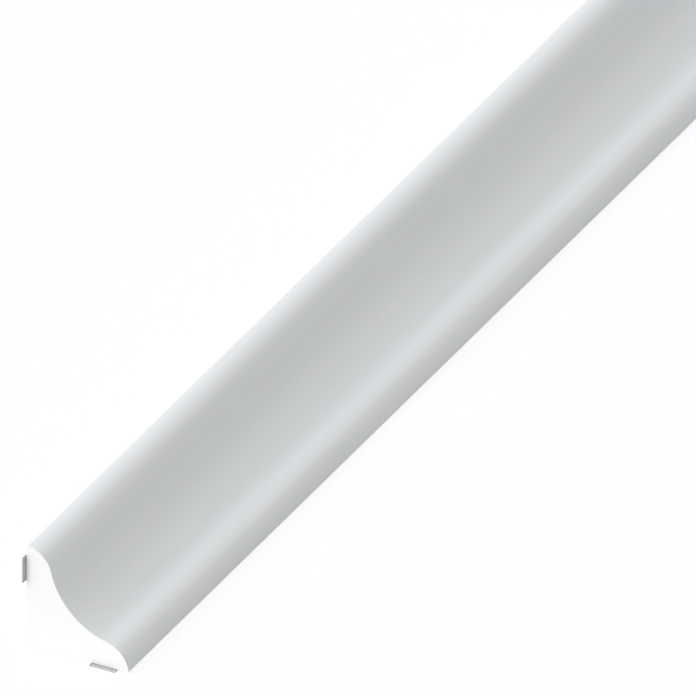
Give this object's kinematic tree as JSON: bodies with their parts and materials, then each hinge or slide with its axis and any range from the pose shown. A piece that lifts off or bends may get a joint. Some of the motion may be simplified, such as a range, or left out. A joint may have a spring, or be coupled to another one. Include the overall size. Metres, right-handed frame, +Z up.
{
  "type": "self-adhesive cove corner trim",
  "caption": "White foamed PVC cove trim for inside corners, with rolled edges and self-adhesive tape under liners on both backs.",
  "frame": {"origin": "on the floor, below the middle of the trim's box of width and length", "axes": "+X along the floor leg away from the wall, +Y along the length, +Z up the wall leg; the near end of the picture is at -Y"},
  "size_m": [0.0222, 1.0026, 0.0222],
  "materials": {
    "foamed_pvc": "satin",
    "foam_tape": "matte",
    "release_liner": "satin"
  },
  "bodies": {
    "root": {"trim_profile": "foamed_pvc", "wall_tape": "foam_tape", "wall_liner": "release_liner", "floor_tape": "foam_tape", "floor_liner": "release_liner"}
  },
  "joints": []
}
